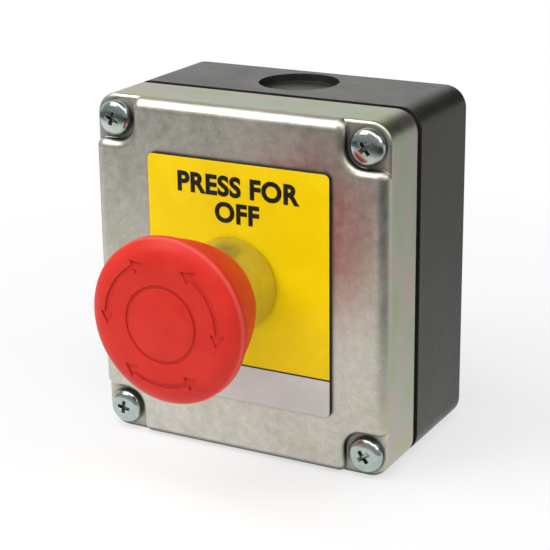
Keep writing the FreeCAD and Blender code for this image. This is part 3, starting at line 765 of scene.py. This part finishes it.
carrier_grey = moulding("carrier_grey", (0.24, 0.24, 0.24), pale_edge=(0.36, 0.36, 0.36), roughness=0.44)
housing_black = moulding("housing_black", (0.028, 0.028, 0.030), pale_edge=(0.09, 0.09, 0.09), roughness=0.42)
plunger_red = moulding("plunger_red", (0.50, 0.028, 0.022), pale_edge=(0.62, 0.16, 0.13), roughness=0.40)
plunger_green = moulding("plunger_green", (0.03, 0.26, 0.07), pale_edge=(0.15, 0.42, 0.2), roughness=0.40)
brass = satin_metal("contact_brass", dark=(0.62, 0.44, 0.18), light=(0.74, 0.56, 0.26), roughness=0.28)
dress(carrier_grey, "contact_carrier")
dress(housing_black, "nc_housing", "no_housing")
dress(plunger_red, "nc_plunger")
dress(plunger_green, "no_plunger")
dress(brass, "nc_bridge", "no_bridge", "nc_terminals", "no_terminals")
dress(zinc, "carrier_screw", "nc_terminal_screws", "no_terminal_screws")


# Studio floor: plain white paper under the box. The camera sees it as white, with the shadow near the box.
# What the metal mirrors of it is a lit patch at the left, a darker wedge at the front right and a grey rear.

floor_size = 6.0
floor_gap = 0.0001
floor_height = solid_box[0][2]
paper_grey = (0.88, 0.88, 0.88, 1.0)
white = (1.0, 1.0, 1.0, 1.0)
shadow_reach = (0.08, 0.22)
shadow_share = 0.35
patch_middle = (-0.13, 0.0, floor_height)
patch_reach = (0.215, 0.295)
patch_levels = (1.1, 0.10)
slope_across = (-0.18, 0.05)
slope_levels = (1.16, 0.96)
wedge_bearing = math.radians(58.0)
wedge_spread = 0.62
wedge_blur = 0.03
wedge_reach = (0.05, 0.19)
wedge_share = 0.40
behind_edge = (-0.02, 0.04)
behind_turn = (-0.05, 0.10)
behind_levels = (0.48, 0.90)


def seen_by(tree):
    """Masks of camera rays and of the rays that mirror or pass through something."""
    light_path = tree.nodes.new("ShaderNodeLightPath")
    camera, glossy, clear = (Value(tree, light_path.outputs[name])
                             for name in ("Is Camera Ray", "Is Glossy Ray", "Is Transmission Ray"))
    return camera, camera.math("MAXIMUM", glossy, clear)


floor_mesh = bmesh.new()
bmesh.ops.create_grid(floor_mesh, x_segments=1, y_segments=1, size=floor_size / 2)
bmesh.ops.translate(floor_mesh, verts=floor_mesh.verts, vec=(0, 0, floor_height - floor_gap))
floor_paint = bpy.data.materials.new("pale_floor")
floor_paint.use_nodes = True
tree = floor_paint.node_tree
tree.nodes.clear()
start = Value(tree)
camera_ray, mirror_ray = seen_by(tree)
place = start.node("TexCoord", {}, {}, "Object")
across = along(start, place, "X")
inwards = along(start, place, "Y")
away = start.node("VectorMath", {"operation": "LENGTH"}, {0: place}, "Value")
blank_paper = spread(start, away, *shadow_reach, 1.0 - shadow_share, 1.0)
from_patch = start.node("VectorMath", {"operation": "DISTANCE"}, {0: place, 1: patch_middle}, "Value")
along_wedge = across * math.sin(wedge_bearing) - inwards * math.cos(wedge_bearing)
off_wedge = across * math.cos(wedge_bearing) + inwards * math.sin(wedge_bearing)
past_wedge = start.math("ABSOLUTE", off_wedge) - along_wedge * wedge_spread
wedge = spread(start, past_wedge, wedge_blur, -wedge_blur)
wedge = wedge * spread(start, along_wedge, *wedge_reach, 0.0, wedge_share)
room = spread(start, from_patch, *patch_reach, *patch_levels) * (1.0 - wedge)
room = room * spread(start, across, *slope_across, *slope_levels)
behind = spread(start, across - inwards, *behind_turn, *behind_levels)
room = room + (behind - room) * spread(start, inwards, *behind_edge)
paper = start.node("BsdfDiffuse", {}, {"Color": paper_grey})
strength = camera_ray + (1.0 - camera_ray) * room
glow = start.node("Emission", {}, {"Color": white, "Strength": strength})
seen = start.math("MAXIMUM", camera_ray, mirror_ray)
blend = start.node("MixShader", {}, {0: seen * blank_paper, 1: paper, 2: glow})
tree.links.new(blend.socket, tree.nodes.new("ShaderNodeOutputMaterial").inputs["Surface"])
floor = piece("floor", floor_mesh, floor_paint)


# Studio surround: white to the camera and dim as a light, so that three soft boxes do most of the lighting.
# The metal mirrors it bright behind, grey in front and above, and black beyond the box's right shoulder.

surround = 0.28
mirrored_front = 0.38
mirrored_back = 0.95
mirrored_above = 0.35
mirrored_shoulder = 0.0
front_to_back = (-0.2, 0.4)
level_to_above = (0.45, 0.75)
shoulder_side = (-0.18, 0.04)
shoulder_height = (0.0, 0.10)
shoulder_back = (0.1, 0.4)
object_middle = Vector((0.0, -0.03, 0.0))

world = bpy.data.worlds.new("studio")
world.use_nodes = True
tree = world.node_tree
start = Value(tree)
camera_ray, mirror_ray = seen_by(tree)
outlook = start.node("TexCoord", {}, {}, "Generated")
sideways, inwards, upwards = (along(start, outlook, axis) for axis in "XYZ")
horizon = spread(start, inwards, *front_to_back, mirrored_front, mirrored_back)
mirrored = horizon + (mirrored_above - horizon) * spread(start, upwards, *level_to_above)
shoulder = spread(start, sideways, *shoulder_side) * spread(start, upwards, *shoulder_height)
shoulder = shoulder * spread(start, inwards, *shoulder_back)
mirrored = mirrored + (mirrored_shoulder - mirrored) * shoulder
strength = camera_ray * (1.0 - surround) + mirror_ray * (mirrored - surround) + surround
tree.nodes["Background"].inputs["Color"].default_value = white
tree.links.new(strength.socket, tree.nodes["Background"].inputs["Strength"])
bpy.context.scene.world = world


def soft_box(name, place, width, depth, power):
    """A soft light turned to the middle of the object."""
    lamp = bpy.data.lights.new(name, "AREA")
    lamp.shape = "RECTANGLE"
    lamp.size = width
    lamp.size_y = depth
    lamp.energy = power
    made = bpy.data.objects.new(name, lamp)
    made.location = place
    made.rotation_euler = (object_middle - Vector(place)).to_track_quat("-Z", "Y").to_euler()
    bpy.context.scene.collection.objects.link(made)


soft_box("overhead", (-0.07, -0.275, 0.70), width=1.15, depth=0.25, power=4.0)
soft_box("key", (-0.35, -0.50, 0.55), width=0.30, depth=0.30, power=2.4)
soft_box("fill", (0.55, -0.15, 0.45), width=0.40, depth=0.40, power=1.1)


# Camera: it stands where the photograph was taken from, in front of the box, above it and to its right.
# Its place and lens were solved from the edges of the box, the plate, the screws and the rings of the head.

camera_aim = Vector((-0.00186, -0.024, -0.0042))
camera_distance = 0.4358
camera_azimuth = math.radians(28.59)
camera_elevation = math.radians(18.35)
camera_roll = math.radians(-0.69)
sensor_width = 36.0
focal_length = 111.67
nearest = 0.01

lens = bpy.data.cameras.new("camera")
lens.sensor_width = sensor_width
lens.lens = focal_length
lens.clip_start = nearest
camera = bpy.data.objects.new("camera", lens)
turn = Euler((math.pi / 2 - camera_elevation, 0.0, camera_azimuth)).to_matrix()
camera.matrix_world = (Matrix.Translation(camera_aim + turn @ Vector((0, 0, camera_distance)))
                       @ (turn @ Matrix.Rotation(camera_roll, 3, "Z")).to_4x4())
bpy.context.scene.collection.objects.link(camera)
bpy.context.scene.camera = camera
bpy.context.scene.view_settings.view_transform = "Standard"
